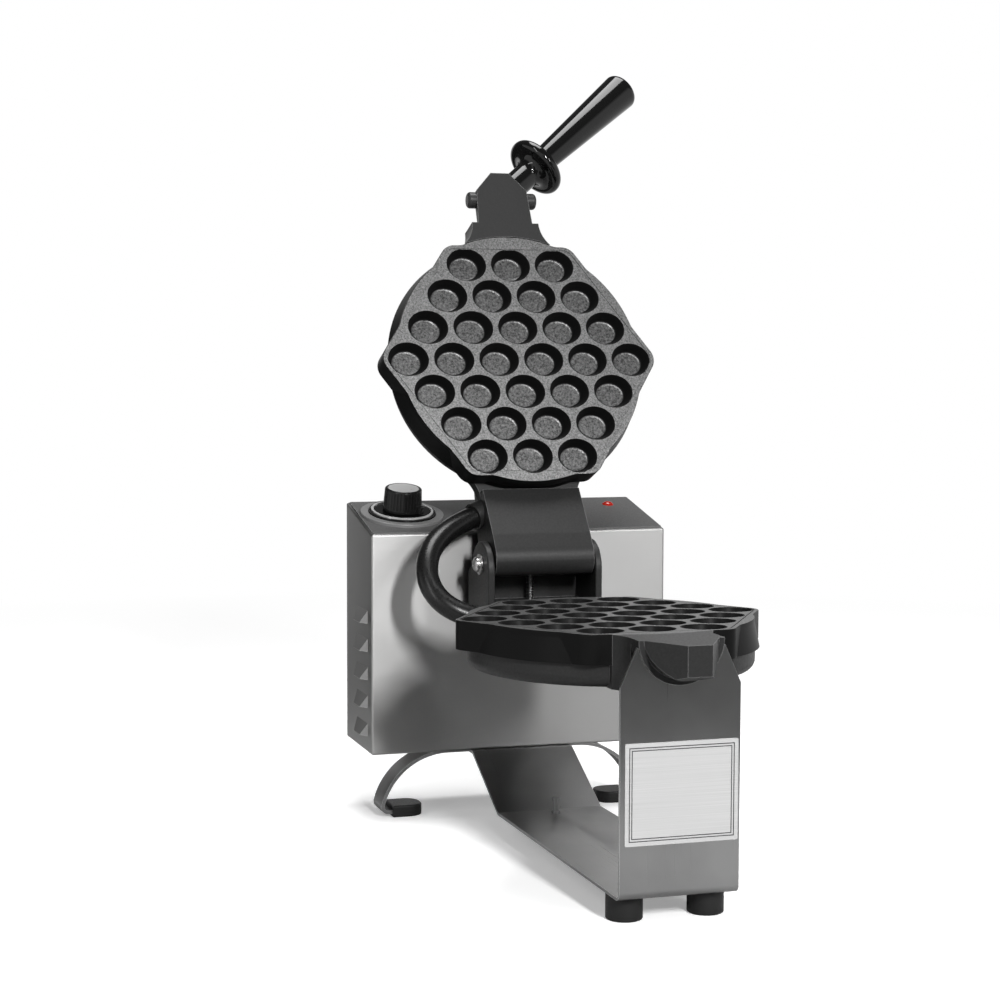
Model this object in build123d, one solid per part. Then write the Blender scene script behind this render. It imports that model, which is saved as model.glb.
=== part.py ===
from build123d import *
import math
import os

os.makedirs("parts", exist_ok=True)

# A bench-top maker for bubble waffles, in millimetres.
# While it is drawn, X is to the right, Y runs back from the case's front face and Z is up from the table.
# At the end everything moves so that the origin is the middle of the whole part's footprint.

# Fits and clearances
RUNNING = 0.05
SEAT = 0.02
GAP = 0.4
FACE_GAP = 0.2
OVERRUN = 2.0

# Case
CASE_W = 230.0
CASE_D = 79.0
CASE_ABOVE = 39.6
CASE_RISE = 18.5
CASE_EDGE_R = 1.6
SHEET = 1.2
GROUND_H = 51.2
LOUVRES = 5
LOUVRE_PITCH = 21.0
LOUVRE_L = 34.0
LOUVRE_H = 9.5
LOUVRE_OUT = 4.6
LOUVRE_END = 8.0
LOUVRE_LIP = 0.8
LOUVRE_FRONT = 12.0
LOUVRE_LOW = 17.0
PANEL_T = 1.0
PANEL_INSET = 1.6
PANEL_R = 1.6

# Mould
AXIS_H = 175.2
PAN_Y = 188.8
PITCH = 34.7
ROW_PITCH = 25.25
ROW_COUNTS = (3, 4, 5, 6, 5, 4, 3)
CAVITY_A = 14.9
CAVITY_B = 12.7
CAVITY_DEPTH = 9.0
CAVITY_FLOOR_SHARE = 0.76
CAVITY_FLOOR_R = 2.5
CAVITY_LIP = 0.5
PLATE_DEPTH = 19.0
PLATE_SOLID = 13.0
PLATE_RIM = 5.0
HEX_TIP = 108.0
HEX_SIDE = 48.8
HEX_HALF = 91.0
HEX_SHIFT = 0.8
HEX_R = 12.0
DISC_R = 97.7
DISC_SHIFT = 1.4
DISC_FACE_R = 94.4
DISC_DRAFT = 0.6
CAP_R = 97.2
CAP_SHIFT = 1.9
WAIST_R = 14.0
LINE_INSET = 2.7
LINE_W = 0.7
LINE_DEPTH = 0.5
PLATE_EDGE_R = 0.5

# Pans behind the moulds
PAN_R = 95.0
PAN_SHIFT = 1.0
PAN_DEPTH = 34.0
PAN_EDGE_R = 7.0
PAN_WALL = 4.0
NECK_FILLET_R = 30.0
ELEMENT_R = 62.0
ELEMENT_TUBE_R = 3.5
ELEMENT_SWEEP = 320.0
ELEMENT_TAIL = 4.0
PIN_R = 2.0
PIN_L = 8.0
BOSS_R = 6.0
BOSS_AT = 78.0
BOSS_TURN = 45.0
BOSSES = 4
BOSS_HOLE_SHARE = 0.75
SCREW_R = 2.4
SCREW_HEAD_R = 4.2
SCREW_HEAD_H = 2.6
HEAD_ROUND_SHARE = 0.6
SLOT_L_SHARE = 1.2
SLOT_W_SHARE = 0.25

# Lid hinge
HINGE_BACK = 37.2
HINGE_UP = 19.1
LEAN = 21.5
HINGE_PIN_R = 5.0
ARM_HALF = 37.2
ARM_START = 12.6
ARM_FRONT = 20.4
ARM_FRONT_UP = 9.0
ARM_BEND_FRONT = 10.9
ARM_BEND_UP = 22.4
ARM_UNDER = 8.3
ARM_TAIL = 18.7
ARM_CORNER_R = 11.6
ARM_FRONT_R = 16.0
ARM_BEND_R = 20.0
CHEEK_T = 5.0
CHEEK_CLEAR = 1.1
CHEEK_R = 20.6
CHEEK_DROP = 4.0
CHEEK_EDGE_R = 1.2
FLOOR_DROP = 9.2
WALL_T = 6.0
WALL_CORNER_R = 9.0
WASHER_R = 7.4
WASHER_T = 1.2
DOME_R = 5.4
DOME_H = 3.6

# Sprung stop under the lid's tail
STOP_BACK = 21.0
STOP_BOLT_R = 1.6
STOP_HEAD_R = 3.4
STOP_HEAD_H = 2.0
STOP_THREAD = 8.0
STOP_GAP = 0.3
SPRING_R = 2.75
SPRING_WIRE = 0.9
SPRING_TURNS = 8

# Front blocks and the journal between them
BLOCK_REACH = 152.5
UPPER_TIP = 7.3
UPPER_ROOT = 21.4
UPPER_HALF = 19.8
UPPER_CHAMFER_SHARE = 0.732
UPPER_SHOULDER = 26.3
LOWER_TIP = 8.0
BLOCK_FOOT = 33.5
FLARE_START = 5.4
SHOULDER_SHARE = 0.223
JOURNAL_R = 28.0
JOURNAL_OUT = 0.6
NOSE_R = 24.4
NOSE_SLOPE_SHARE = 0.627
NOSE_TIP_R = 19.0
LUG_R = 6.2
LUG_SHARE = 0.62
LUG_DROP = 6.6
LUG_SEAT = 17.6
LUG_LEFT = 26.4
LUG_RIGHT = 27.9
LUG_ROUND = 2.4
LUG_PIN_R = 3.0

# Handle
HANDLE_DROP = 11.0
HANDLE_SHIFT = 0.9
HANDLE_ROD_R = 4.0
HANDLE_ROD_IN = 11.0
HANDLE_ROD_OUT = 117.0
NECK_R = 10.2
NECK_L = 23.4
NECK_FLARE = 8.0
GUARD_R = 24.0
GUARD_T = 8.4
GUARD_ROUND = 3.9
GRIP_END = 136.4
GRIP_START_R = 9.6
GRIP_END_R = 14.8
GRIP_ROUND = 5.0

# Flip shaft and its bearing
SHAFT_R = 12.0
SHAFT_BORE_R = 8.5
SHAFT_IN = 46.0
HUB_R = 18.0
HUB_L = 9.6
HUB_REAR = 4.4
BUSH_T = 3.0
BUSH_L = 24.0
BEARING_T = 4.0
FLANGE_HALF = 30.0
FLANGE_T = 3.0
FLANGE_BOLT = 23.0
COLLAR_W = 9.0
COLLAR_T = 6.0

# Front bracket
BRACKET_W = 78.4
BRACKET_T = 2.0
BRACKET_SHARE = 0.453
BRACKET_GROUND = 16.6
SHOULDER_DROP = 28.2
HORN_X = 28.6
HORN_DROP = 4.6
BRACKET_BEND = 68.4
BRACKET_TOP_BEND = 4.8
BRACKET_TAIL = 58.0
BEND_R = 3.0
NOTCH_CLEAR = 0.3
BRACKET_SCREW_X = 28.0
BRACKET_SCREW_FRONT = 8.0
BRACKET_SCREW_REAR = 50.0
LABEL_X = 0.9
LABEL_W = 73.8
LABEL_H = 62.6
LABEL_LOW = 50.2
LABEL_T = 0.6
LABEL_R = 1.2
LABEL_LINE_W = 0.5
LABEL_LINE_IN = 2.6
LABEL_LINE_STEP = 1.6
LABEL_LINE_DEPTH = 0.2
FOOT_R = 11.6
FOOT_EDGE_R = 1.2
FOOT_X = 27.0
FOOT_BEHIND = 23.1
STUD_BACK = 82.0
STUD_R = 2.0
STUD_H = 9.0
STUD_HEAD_R = 2.5
STUD_HEAD_H = 3.0
STUD_NUT_R = 3.1
STUD_NUT_T = 1.6

# Rear legs
LEG_T = 2.5
LEG_W = 24.0
LEG_MID_Y = 29.0
LEG_IN = 63.0
LEG_R = 52.0
LEG_TOE_R = 4.2
LEG_FOOT = 16.5
LEG_FOOT_H = 4.0
LEG_SCREW_X = 18.0
SLEEVE_H = 8.8
SLEEVE_SHORT = 9.2
SLEEVE_L = 24.5
SLEEVE_W = 26.5
SLEEVE_CORNER = 11.0
SLEEVE_EDGE_R = 1.2

# Control panel
DIAL_IN = 34.0
DIAL_SHARE = 0.536
DIAL_R = 31.4
DIAL_T = 2.4
DIAL_EDGE_R = 0.5
DIAL_GROOVE_R = 25.4
DISC_BLACK_R = 25.0
DISC_BLACK_T = 3.8
BEAD_R = 22.6
BEAD_W = 0.9
KNOB_R = 14.7
KNOB_TOP_R = 13.9
KNOB_H = 16.9
KNOB_EDGE_R = 1.2
KNOB_LIFT = 0.8
KNOB_RIBS = 36
KNOB_RIB_R = 0.5
KNOB_RIB_START = 3.0
KNOB_INLAY_R = 11.6
KNOB_INLAY_T = 0.8
MARK_W = 1.2
MARK_DEPTH = 0.3
TAIL_L = 3.2
TAIL_W = 5.0
TAIL_H = 5.0
TAIL_R = 1.6
TAIL_TURN = -45.0
SPINDLE_R = 3.0
SPINDLE_IN = 16.0
SPINDLE_UP = 13.0
LAMP_IN = 24.0
LAMP_SHARE = 0.752
LAMP_R = 4.6
LAMP_DOME = 2.3
LAMP_BODY_R = 3.9
LAMP_BODY_L = 22.0
THERMO_HALF = 17.0
THERMO_T = 20.0
THERMO_NECK_R = 6.0

# Rear cover and inlet
COVER_FLANGE = 14.0
COVER_SCREW_IN = 8.0
FIX_R = 1.8
FIX_HEAD_R = 3.6
FIX_HEAD_H = 2.2
FIX_L = 8.0
NUT_R = 4.0
NUT_T = 3.0
VENTS = 6
VENT_L = 30.0
VENT_W = 3.0
VENT_PITCH = 9.0
GLAND_IN = 40.0
GLAND_UP = 30.0
GLAND_R = 9.0
GLAND_L = 15.0
GLAND_EDGE_R = 1.6
GLAND_NECK_R = 7.0
CORD_HOLE_R = 4.0
GLAND_NUT_R = 11.0
GLAND_NUT_T = 4.0
TERMINAL_L = 46.0
TERMINAL_W = 16.0
TERMINAL_H = 14.0
TERMINAL_IN = 34.0
TERMINAL_Y = 46.0
TERMINALS = 4

# Conduit between the two pans
HOSE_R = 7.9
HOSE_COLLAR_T = 1.6
HOSE_COLLAR_L = 3.0
ARC_SHARE = 0.45
HOSE_ROUTE = (
    (-40.8, -19.2, 53.0),
    (-55.0, -23.5, 48.2),
    (-72.5, -34.5, 40.0),
    (-85.5, -47.5, 28.5),
    (-90.0, -60.5, 11.0),
    (-82.5, -72.5, -4.0),
    (-64.0, -79.5, -13.5),
    (-46.6, -78.6, -16.7),
)

# Values worked out from those above
case_top = AXIS_H + CASE_ABOVE
slope = math.degrees(math.atan2(CASE_RISE, CASE_D))
slope_l = math.hypot(CASE_RISE, CASE_D)
cheek_in = ARM_HALF + CHEEK_CLEAR
cheek_out = cheek_in + CHEEK_T
cheek_rear = -HUB_REAR - HUB_L
bush_out = SHAFT_R + RUNNING + BUSH_T
bearing_out = bush_out + SEAT + BEARING_T
hinge_h = AXIS_H + HINGE_UP
stop_top = hinge_h - ARM_UNDER - STOP_GAP
disc_low = DISC_R - DISC_SHIFT
disc_high = DISC_R + DISC_SHIFT
floor_h = AXIS_H - FLOOR_DROP
block_span = BLOCK_REACH - disc_high
shoulder_at = disc_high + SHOULDER_SHARE * block_span
chamfer_at = disc_high + UPPER_CHAMFER_SHARE * block_span
lug_at = disc_high + LUG_SHARE * block_span
bracket_at = disc_high + BRACKET_SHARE * block_span
bracket_front = PAN_Y + bracket_at
foot_back = bracket_front - FOOT_BEHIND
leg_flat = CASE_W / 2 - LEG_IN
sleeve_out = leg_flat + LEG_R - SLEEVE_SHORT
dial_x = -CASE_W / 2 + DIAL_IN
dial_s = slope_l * DIAL_SHARE
lamp_x = CASE_W / 2 - LAMP_IN
lamp_s = slope_l * LAMP_SHARE
gland_x = -CASE_W / 2 + GLAND_IN
terminal_x = CASE_W / 2 - TERMINAL_IN
pan_low = AXIS_H - FACE_GAP - PAN_DEPTH
lean_sin = math.sin(math.radians(LEAN))
lean_cos = math.cos(math.radians(LEAN))
hinge_u = PAN_Y - HINGE_BACK
hose_points = [(x, y, AXIS_H + z) for x, y, z in HOSE_ROUTE]

# Planes in which things are drawn: U runs away from the hinge and W out of the parting face
lower_plane = Plane(origin=(0, -PAN_Y, AXIS_H - FACE_GAP), x_dir=(-1, 0, 0), z_dir=(0, 0, 1))
lid_y = -HINGE_BACK + hinge_u * lean_sin - (HINGE_UP - FACE_GAP) * lean_cos
lid_z = hinge_h + hinge_u * lean_cos + (HINGE_UP - FACE_GAP) * lean_sin
upper_plane = Plane(origin=(0, lid_y, lid_z), x_dir=(1, 0, 0), z_dir=(0, -lean_cos, lean_sin))
panel_plane = Plane(
    origin=(0, 0, case_top),
    x_dir=(1, 0, 0),
    z_dir=(0, -math.sin(math.radians(slope)), math.cos(math.radians(slope))),
)
handle_turn = math.atan2(UPPER_HALF - UPPER_TIP, BLOCK_REACH - chamfer_at)
handle_plane = upper_plane * Plane(
    origin=(
        (UPPER_HALF + UPPER_TIP) / 2 - HANDLE_SHIFT * math.sin(handle_turn),
        (chamfer_at + BLOCK_REACH) / 2 + HANDLE_SHIFT * math.cos(handle_turn),
        -HANDLE_DROP,
    ),
    x_dir=(0, 0, 1),
    z_dir=(math.cos(handle_turn), math.sin(handle_turn), 0),
)


# Helpers


def bar(low, high):
    """A box between two opposite corners."""
    size = [abs(b - a) for a, b in zip(low, high)]
    middle = [(a + b) / 2 for a, b in zip(low, high)]
    return Pos(*middle) * Box(*size)


def rod_x(radius, start, end, y=0.0, z=0.0):
    """A cylinder along X."""
    return Pos((start + end) / 2, y, z) * (Rot(0, 90, 0) * Cylinder(radius, abs(end - start)))


def rod_y(radius, start, end, x=0.0, z=0.0):
    """A cylinder along Y."""
    return Pos(x, (start + end) / 2, z) * (Rot(90, 0, 0) * Cylinder(radius, abs(end - start)))


def rod_z(radius, start, end, x=0.0, y=0.0):
    """A cylinder along Z."""
    return Pos(x, y, (start + end) / 2) * Cylinder(radius, abs(end - start))


def side_profile(points, half):
    """Points in Y and Z, made into a prism that reaches half to each side."""
    return extrude(Plane.YZ * Polygon(*points, align=None), amount=half, both=True)


def turned(points):
    """Points of radius and height, turned about Z."""
    return revolve(Plane.XZ * Polygon(*points, align=None), axis=Axis.Z)


def lid_point(u, w):
    """Y and Z of a place in the open lid's own plane."""
    return (lid_y + u * lean_sin - w * lean_cos, lid_z + u * lean_cos + w * lean_sin)


def screw(head_r, head_h, shank_r, shank_l):
    """A round-headed screw that points down, with its seat at Z zero."""
    head = Pos(0, 0, head_h / 2) * Cylinder(head_r, head_h)
    head = fillet(head.edges().group_by(Axis.Z)[-1], head_h * HEAD_ROUND_SHARE)
    head -= Pos(0, 0, head_h) * Box(head_r * SLOT_L_SHARE, head_r * SLOT_W_SHARE, head_h)
    return head + rod_z(shank_r, -shank_l, 0)


nodes = {}


def keep(name, shape):
    """Files a finished piece under its node's name."""
    nodes[name] = shape


# Moulds


def hexagon():
    points = [
        (HEX_TIP, HEX_SHIFT),
        (HEX_SIDE, HEX_SHIFT + HEX_HALF),
        (-HEX_SIDE, HEX_SHIFT + HEX_HALF),
        (-HEX_TIP, HEX_SHIFT),
        (-HEX_SIDE, HEX_SHIFT - HEX_HALF),
        (HEX_SIDE, HEX_SHIFT - HEX_HALF),
    ]
    face = Polygon(*points, align=None)
    return fillet(face.vertices(), HEX_R)


def mould_outline():
    """A rounded hexagon whose sides bulge a little, with the waists between eased."""
    cap = Pos(0, CAP_SHIFT) * Circle(CAP_R) & Rectangle(2 * HEX_SIDE, 2 * HEX_TIP)
    face = hexagon() + Pos(0, DISC_SHIFT) * Circle(DISC_FACE_R) + cap
    return offset(offset(face, WAIST_R), -WAIST_R)


def mould_skirt():
    """The round side of a mould, which spreads towards the pan."""
    depth = PLATE_DEPTH - PLATE_EDGE_R
    middle = -PLATE_EDGE_R - depth / 2
    return Pos(0, DISC_SHIFT, middle) * Cone(DISC_R, DISC_FACE_R - DISC_DRAFT, depth)


def cavity_places():
    """The middles of the bubbles, row by row."""
    for row, count in enumerate(ROW_COUNTS):
        u = (len(ROW_COUNTS) // 2 - row) * ROW_PITCH
        for k in range(count):
            yield (k - (count - 1) / 2) * PITCH, u


def cavity():
    """One bubble's hollow, below Z zero, with an eased lip and floor."""
    share = CAVITY_FLOOR_SHARE
    floor = Pos(0, 0, -CAVITY_DEPTH) * Ellipse(CAVITY_A * share, CAVITY_B * share)
    rim = Pos(0, 0, -CAVITY_LIP) * Ellipse(CAVITY_A, CAVITY_B)
    lip = Ellipse(CAVITY_A + CAVITY_LIP, CAVITY_B + CAVITY_LIP)
    bowl = loft([floor, rim], ruled=True)
    bowl = fillet(bowl.edges().group_by(Axis.Z)[0], CAVITY_FLOOR_R)
    return bowl + loft([rim, lip], ruled=True)


def screw_places():
    """The places where a pan is screwed to its mould."""
    for k in range(BOSSES):
        turn = math.radians(BOSS_TURN + k * 360 / BOSSES)
        yield BOSS_AT * math.cos(turn), BOSS_AT * math.sin(turn)


def mould():
    outline = mould_outline()
    body = extrude(outline, -PLATE_DEPTH)
    body = fillet(body.edges().group_by(Axis.Z)[-1], PLATE_EDGE_R)
    body += mould_skirt()
    body -= Pos(0, 0, -PLATE_DEPTH) * extrude(offset(outline, -PLATE_RIM), PLATE_DEPTH - PLATE_SOLID)
    line = offset(hexagon(), -LINE_INSET) - offset(hexagon(), -LINE_INSET - LINE_W)
    body -= Pos(0, 0, -LINE_DEPTH) * extrude(line, LINE_DEPTH + OVERRUN)
    hollow = cavity()
    body -= [Pos(x, u, 0) * hollow for x, u in cavity_places()]
    hole_top = -PLATE_SOLID + (PLATE_SOLID - CAVITY_DEPTH) * BOSS_HOLE_SHARE
    body -= [rod_z(SCREW_R, -PLATE_DEPTH, hole_top, x, u) for x, u in screw_places()]
    return body


def element():
    """The heating tube behind a mould: most of a turn, with straight ends and thin terminals."""
    w = -PLATE_SOLID - ELEMENT_TUBE_R - RUNNING
    start = 270 + (360 - ELEMENT_SWEEP) / 2
    turn = CenterArc((0, 0, w), ELEMENT_R, start, ELEMENT_SWEEP)
    first = Line(turn @ 0 - (turn % 0) * ELEMENT_TAIL, turn @ 0)
    last = Line(turn @ 1, turn @ 1 + (turn % 1) * ELEMENT_TAIL)
    path = Wire([first, turn, last])
    tube = sweep(Plane(origin=path @ 0, z_dir=path % 0) * Circle(ELEMENT_TUBE_R), path=path)
    pins = [
        Plane(origin=path @ 0 - (path % 0) * PIN_L, z_dir=path % 0) * rod_z(PIN_R, 0, PIN_L),
        Plane(origin=path @ 1, z_dir=path % 1) * rod_z(PIN_R, 0, PIN_L),
    ]
    return tube + pins


def mould_screws():
    """Screws that hold a pan to its mould, heads sunk into the pan's back."""
    seat = -PAN_DEPTH + SCREW_HEAD_H
    tip = PLATE_SOLID - (PLATE_SOLID - CAVITY_DEPTH) / 2
    one = Rot(180, 0, 0) * screw(SCREW_HEAD_R, SCREW_HEAD_H, SCREW_R - SEAT, PAN_DEPTH - SCREW_HEAD_H - tip)
    return Compound(children=[Pos(x, u, seat) * one for x, u in screw_places()])


def pan(neck_half, neck_end):
    """The round pan behind a mould, with the root of its neck."""
    face = Pos(0, PAN_SHIFT) * Circle(PAN_R)
    root = math.sqrt(PAN_R**2 - neck_half**2)
    neck = Polygon(
        (-neck_half, -neck_end), (neck_half, -neck_end), (neck_half, 0), (-neck_half, 0), align=None
    )
    face += neck
    corners = [v for v in face.vertices() if abs(v.Y - PAN_SHIFT + root) < RUNNING]
    face = fillet(corners, NECK_FILLET_R)
    body = Pos(0, 0, -PAN_DEPTH) * extrude(face, PAN_DEPTH - PLATE_DEPTH)
    body = fillet(body.edges().group_by(Axis.Z)[0], PAN_EDGE_R)
    inside = Pos(0, PAN_SHIFT) * Circle(PAN_R - PAN_WALL)
    body -= Pos(0, 0, -PAN_DEPTH + PAN_WALL) * extrude(inside, PAN_DEPTH)
    body += [rod_z(BOSS_R, -PAN_DEPTH + PAN_WALL, -PLATE_SOLID - SEAT, x, u) for x, u in screw_places()]
    body -= [rod_z(SCREW_R, -PAN_DEPTH - OVERRUN, 0, x, u) for x, u in screw_places()]
    head = SCREW_HEAD_R + GAP
    body -= [
        rod_z(head, -PAN_DEPTH - OVERRUN, -PAN_DEPTH + SCREW_HEAD_H, x, u) for x, u in screw_places()
    ]
    return body


def block_flare(foot, shoulder):
    """The plan of a block's root: hollow curves that spread from the shoulder to the pan."""
    low = disc_high - FLARE_START
    join = PAN_R - PAN_EDGE_R - PAN_WALL
    right = TangentArc((shoulder, shoulder_at), (foot, low), tangent=(0, -1))
    left = TangentArc((-shoulder, shoulder_at), (-foot, low), tangent=(0, -1))
    base = Polyline((foot, low), (foot, join), (-foot, join), (-foot, low))
    return make_face([right, base, left, Line((-shoulder, shoulder_at), (shoulder, shoulder_at))])


def clear_of_mould(body):
    """Cuts away the room that the mould takes up to its full depth."""
    return body - extrude(Pos(0, DISC_SHIFT) * Circle(DISC_R + GAP), -PLATE_DEPTH)


def upper_block():
    """The block in front of the upper pan: a flat parting face on a half-round body."""
    head = Polygon(
        (-UPPER_ROOT, PAN_R - PAN_EDGE_R - PAN_WALL),
        (UPPER_ROOT, PAN_R - PAN_EDGE_R - PAN_WALL),
        (UPPER_ROOT, shoulder_at),
        (UPPER_HALF, chamfer_at),
        (UPPER_TIP, BLOCK_REACH),
        (-UPPER_TIP, BLOCK_REACH),
        (-UPPER_HALF, chamfer_at),
        (-UPPER_ROOT, shoulder_at),
        align=None,
    )
    body = extrude(head, -PAN_DEPTH) & rod_y(UPPER_ROOT, 0, BLOCK_REACH + OVERRUN)
    body += extrude(block_flare(BLOCK_FOOT, UPPER_SHOULDER), -PAN_DEPTH) & rod_y(BLOCK_FOOT, 0, BLOCK_REACH)
    return clear_of_mould(body)


def lower_block():
    """The half-round journal in front of the lower pan, with a slimmer nose."""
    join = PAN_R - PAN_EDGE_R - PAN_WALL
    end = bracket_at + JOURNAL_OUT
    slope_at = disc_high + NOSE_SLOPE_SHARE * block_span
    lower = Pos(0, 0, -JOURNAL_R / 2) * Box(2 * JOURNAL_R, 2 * BLOCK_REACH + OVERRUN, JOURNAL_R)
    body = rod_y(JOURNAL_R, join, end) & lower
    nose = Polygon(
        (-NOSE_R, join), (NOSE_R, join), (NOSE_R, end), (LOWER_TIP, BLOCK_REACH),
        (-LOWER_TIP, BLOCK_REACH), (-NOSE_R, end), align=None,
    )
    under = side_profile(
        [
            (join, 0),
            (BLOCK_REACH, 0),
            (BLOCK_REACH, -NOSE_TIP_R),
            (slope_at, -NOSE_R),
            (join, -NOSE_R),
        ],
        NOSE_R,
    )
    body += extrude(nose, -NOSE_R) & rod_y(NOSE_R, join, BLOCK_REACH) & under
    body += extrude(block_flare(BLOCK_FOOT, JOURNAL_R), -PAN_DEPTH)
    return clear_of_mould(body)


# Upper half


def arm():
    """The lid's arm, drawn in the open pose about the hinge pin."""
    tail = (-HINGE_BACK + ARM_TAIL, hinge_h - ARM_UNDER)
    toe = (-HINGE_BACK - ARM_FRONT, hinge_h - ARM_UNDER)
    front = (-HINGE_BACK - ARM_FRONT, hinge_h + ARM_FRONT_UP)
    bend = (-HINGE_BACK - ARM_BEND_FRONT, hinge_h + ARM_BEND_UP)
    top = lid_point(-disc_low - GAP, -ARM_START)
    under = lid_point(-disc_low - GAP, -PLATE_DEPTH)
    inner = lid_point(-PAN_R + PAN_EDGE_R, -PLATE_DEPTH)
    back = lid_point(-PAN_R + PAN_EDGE_R, -PAN_DEPTH)
    outline = Polygon(tail, toe, front, bend, top, under, inner, back, align=None)
    for spot, radius in ((toe, ARM_CORNER_R), (front, ARM_FRONT_R), (bend, ARM_BEND_R)):
        corner = outline.vertices().sort_by_distance((*spot, 0))[0]
        outline = fillet(corner, radius)
    body = extrude(Plane.YZ * outline, amount=ARM_HALF, both=True)
    return body - rod_x(HINGE_PIN_R + RUNNING, -ARM_HALF - OVERRUN, ARM_HALF + OVERRUN, -HINGE_BACK, hinge_h)


def upper_housing():
    half = pan(ARM_HALF, PAN_R + NECK_FILLET_R)
    half += upper_block()
    half -= rod_x(LUG_PIN_R + SEAT, -LUG_LEFT, LUG_RIGHT, lug_at, -LUG_DROP)
    half -= [rod_x(LUG_R + SEAT, side * LUG_SEAT, side * LUG_RIGHT, lug_at, -LUG_DROP) for side in (-1, 1)]
    whole = upper_plane * half + arm()
    return whole - handle_plane * rod_z(HANDLE_ROD_R + SEAT, -HANDLE_ROD_IN, OVERRUN)


def cross_pin():
    """The pin that clamps the handle's rod in the block, with a domed head at each side."""
    pin = rod_x(LUG_PIN_R, -LUG_LEFT, LUG_RIGHT)
    for side, reach in ((-1, LUG_LEFT), (1, LUG_RIGHT)):
        head = rod_x(LUG_R, side * LUG_SEAT, side * reach)
        outer = head.edges().sort_by(Axis.X)[0 if side < 0 else -1]
        pin += fillet(outer, LUG_ROUND)
    return upper_plane * (Pos(0, lug_at, -LUG_DROP) * pin)


def handle_guard():
    """The neck on the block and the round guard in front of the hand."""
    body = rod_z(NECK_R, SEAT, NECK_L)
    disc = rod_z(GUARD_R, NECK_L, NECK_L + GUARD_T)
    disc = fillet(disc.edges().filter_by(GeomType.CIRCLE), GUARD_ROUND)
    body += disc
    joint = [
        e for e in body.edges().filter_by(GeomType.CIRCLE)
        if abs(e.radius - NECK_R) < RUNNING and e.center().Z > NECK_L / 2
    ]
    body = fillet(joint, NECK_FLARE)
    return handle_plane * (body - rod_z(HANDLE_ROD_R + SEAT, -OVERRUN, NECK_L + GUARD_T + OVERRUN))


def handle_grip():
    """The tapered grip, wider at its free end."""
    start = NECK_L + GUARD_T
    body = turned([(0, start), (GRIP_START_R, start), (GRIP_END_R, GRIP_END), (0, GRIP_END)])
    body = fillet(body.edges().group_by(Axis.Z)[-1], GRIP_ROUND)
    return handle_plane * (body - rod_z(HANDLE_ROD_R + SEAT, start - OVERRUN, HANDLE_ROD_OUT + GAP))


# Lower half


def lower_housing():
    body = pan(cheek_out, PAN_R + NECK_FILLET_R)
    body = lower_plane * (body + lower_block())
    slab_front = -PAN_Y + disc_low + GAP
    body += bar((-cheek_out, slab_front, pan_low), (cheek_out, cheek_rear, floor_h))
    wall = bar((-cheek_out, cheek_rear, pan_low), (cheek_out, -HUB_REAR - HUB_L + WALL_T, AXIS_H + HUB_R))
    body += fillet(wall.edges().filter_by(Axis.Y).group_by(Axis.Z)[-1], WALL_CORNER_R)
    body += rod_y(HUB_R, cheek_rear, -HUB_REAR, z=AXIS_H)
    for side in (-1, 1):
        body += cheek(side)
    body -= rod_y(SHAFT_R + SEAT, cheek_rear + OVERRUN, 0, z=AXIS_H)
    body -= rod_x(HINGE_PIN_R + SEAT, -cheek_out - OVERRUN, cheek_out + OVERRUN, -HINGE_BACK, hinge_h)
    body -= rod_z(STOP_BOLT_R + SEAT, floor_h - STOP_THREAD - GAP, hinge_h, 0, -STOP_BACK)
    return body


def cheek(side):
    """One of the two upright cheeks that hold the hinge pin."""
    front = -HINGE_BACK - CHEEK_R
    centre = hinge_h - CHEEK_DROP
    face = Plane.YZ * (
        Pos(-HINGE_BACK, centre) * Circle(CHEEK_R)
        + Polygon(
            (front, pan_low),
            (cheek_rear, pan_low),
            (cheek_rear, hinge_h - ARM_UNDER),
            (-HINGE_BACK + CHEEK_R, centre),
            (front, centre),
            align=None,
        )
    )
    plate = extrude(face, amount=CHEEK_T / 2, both=True)
    rims = [e for e in plate.edges().filter_by(GeomType.CIRCLE) if e.center().Z > centre]
    plate = fillet(rims, CHEEK_EDGE_R)
    return Pos(side * (cheek_in + cheek_out) / 2, 0, 0) * plate


def hinge_washers():
    rings = []
    for side in (-1, 1):
        ring = rod_x(WASHER_R, side * cheek_out, side * (cheek_out + WASHER_T), -HINGE_BACK, hinge_h)
        hole = rod_x(FIX_R + SEAT, side * cheek_in, side * (cheek_out + DOME_H), -HINGE_BACK, hinge_h)
        rings.append(ring - hole)
    return Compound(children=rings)


def hinge_pin():
    pin = rod_x(HINGE_PIN_R, -cheek_out, cheek_out)
    for side in (-1, 1):
        pin -= rod_x(FIX_R + SEAT, side * (cheek_out - FIX_L), side * (cheek_out + OVERRUN))
    return Pos(0, -HINGE_BACK, hinge_h) * pin


def hinge_pin_screws():
    seat = cheek_out + WASHER_T
    one = screw(DOME_R, DOME_H, FIX_R, FIX_L)
    pair = [Pos(side * seat, -HINGE_BACK, hinge_h) * (Rot(0, side * 90, 0) * one) for side in (-1, 1)]
    return Compound(children=pair)


def stop_bolt():
    body = rod_z(STOP_BOLT_R, floor_h - STOP_THREAD, stop_top - STOP_HEAD_H / 2)
    head = Pos(0, 0, stop_top - STOP_HEAD_H) * extrude(RegularPolygon(STOP_HEAD_R, 6), STOP_HEAD_H)
    return Pos(0, -STOP_BACK, 0) * (body + head)


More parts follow.
